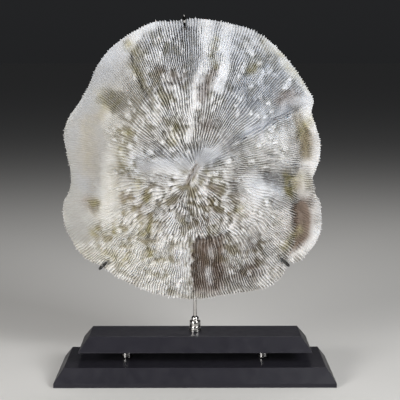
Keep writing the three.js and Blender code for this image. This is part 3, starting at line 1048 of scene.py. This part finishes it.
def make_claw(node, degrees, material):
    """A round wire along a claw's route, with a rounded tip."""
    route = claw_route(degrees)
    ahead = np.gradient(route, axis=0)
    ahead /= np.hypot(ahead[:, 0], ahead[:, 1])[:, None]
    round_end = np.linspace(0, math.pi / 2, ROUND_POINTS)[1:-1]
    route = np.concatenate([route, route[-1] + np.sin(round_end)[:, None] * WIRE_RADIUS * ahead[-1]])
    ahead = np.concatenate([ahead, np.repeat(ahead[-1:], len(round_end), 0)])
    radius = np.concatenate([np.full(len(route) - len(round_end), 1.0), np.cos(round_end)]) * WIRE_RADIUS
    angle = math.radians(degrees)
    outward = np.array([math.cos(angle), 0, math.sin(angle)])
    sideways = np.array([-math.sin(angle), 0, math.cos(angle)])
    turn = np.linspace(0, 2 * math.pi, WIRE_SIDES, endpoint=False)[:, None]
    rings = []
    for (out, y), (step_out, step_y), r in zip(route, ahead, radius):
        along = step_out * outward + (0, step_y, 0)
        across = np.cross(along, sideways)
        circle = r * (np.cos(turn) * sideways - np.sin(turn) * across)
        rings.append(out * outward + (CORAL_X, y, CORAL_Z) + circle)
    mesh = swept_mesh(node + "_wire", np.array(rings) * MM, False, material)
    link_piece(mesh, node)


# Stage: half size and look of the floor, and colours of the surroundings
FLOOR_REACH = 40.0
FLOOR_COLOUR = (0.62, 0.61, 0.59, 1)
FLOOR_ROUGHNESS = 0.8
WORLD_HORIZON = (0.016, 0.0165, 0.0175, 1)
WORLD_ZENITH = (0.032, 0.033, 0.035, 1)

# Lights: name, place, size, power, colour, and angle that the beam spreads over
WARM_LIGHT = (1.0, 0.99, 0.98)
COOL_LIGHT = (0.98, 0.99, 1.0)
WIDE_BEAM = math.pi
NARROW_BEAM = math.radians(30)
LIGHTS = [
    ("left_light", (-0.70, -0.75, 0.40), 0.35, 9.9, WARM_LIGHT, WIDE_BEAM),
    ("right_light", (0.66, -0.72, 0.62), 0.35, 10.2, COOL_LIGHT, WIDE_BEAM),
    ("top_light", (0.1, 0.45, 1.0), 0.6, 3.0, WARM_LIGHT, WIDE_BEAM),
    ("back_light", (0, 0.65, 0.75), 0.25, 0.03, WARM_LIGHT, NARROW_BEAM),
]


def make_floor():
    """One large plain pale floor."""
    mesh = bpy.data.meshes.new("floor")
    corners = [(FLOOR_REACH * (2 * i - 1), FLOOR_REACH * (2 * j - 1), 0) for i, j in CORNERS]
    mesh.from_pydata(corners, [], [(0, 1, 2, 3)])
    material, _, shader = new_material("floor")
    shader.inputs["Base Color"].default_value = FLOOR_COLOUR
    shader.inputs["Roughness"].default_value = FLOOR_ROUGHNESS
    mesh.materials.append(material)
    floor = bpy.data.objects.new("floor", mesh)
    bpy.context.scene.collection.objects.link(floor)


def make_world():
    """A dim grey surrounding, darker towards the horizon."""
    world = bpy.data.worlds.new("studio")
    world.use_nodes = True
    tree = world.node_tree
    place = tree.nodes.new("ShaderNodeTexCoord")
    axes = tree.nodes.new("ShaderNodeSeparateXYZ")
    tree.links.new(place.outputs["Generated"], axes.inputs["Vector"])
    colour = mix_colours(tree, axes.outputs["Z"], WORLD_HORIZON, WORLD_ZENITH)
    tree.links.new(colour, tree.nodes["Background"].inputs["Color"])
    bpy.context.scene.world = world


def make_lights():
    """Soft square lights that look at the coral from the left, the right, above and behind."""
    target = Vector((CORAL_X * MM, CORAL_RIM_Y * MM, CORAL_Z * MM))
    for name, place, size, power, colour, beam in LIGHTS:
        light = bpy.data.lights.new(name, "AREA")
        light.size = size
        light.energy = power
        light.color = colour
        light.spread = beam
        lamp = bpy.data.objects.new(name, light)
        lamp.location = place
        lamp.rotation_euler = (target - Vector(place)).to_track_quat("-Z", "Y").to_euler()
        bpy.context.scene.collection.objects.link(lamp)


def make_camera():
    """The camera at the photograph's viewing angle."""
    lens = bpy.data.cameras.new("camera")
    lens.sensor_width = SENSOR_WIDTH
    lens.lens = FOCAL_PIXELS / IMAGE_SIZE * SENSOR_WIDTH
    camera = bpy.data.objects.new("camera", lens)
    camera.location = CAMERA_PLACE
    camera.rotation_euler = (math.pi / 2 - CAMERA_DOWN, 0, -CAMERA_RIGHT)
    bpy.context.scene.collection.objects.link(camera)
    bpy.context.scene.camera = camera
    bpy.context.scene.view_settings.view_transform = "Standard"


make_camera()
make_world()
make_lights()
make_floor()

paint = paint_material()
nickel = nickel_material("nickel", NICKEL_TINTS)
# The claws' nickel is darkened: a painted reflection of dark surroundings
reflection_darkened_nickel = nickel_material("nickel_darkened_as_reflection", DARK_REFLECTION_TINTS)
make_tier("lower_tier", paint)
make_tier("upper_tier", paint)
make_bar("rod", ROD_CHAMFER, nickel)
make_bar("standoff_left", STANDOFF_CHAMFER, nickel)
make_bar("standoff_right", STANDOFF_CHAMFER, nickel)
make_hub(nickel)
make_ferrule(nickel)
for node, degrees in CLAWS.items():
    make_claw(node, degrees, reflection_darkened_nickel)
make_coral(coral_material())
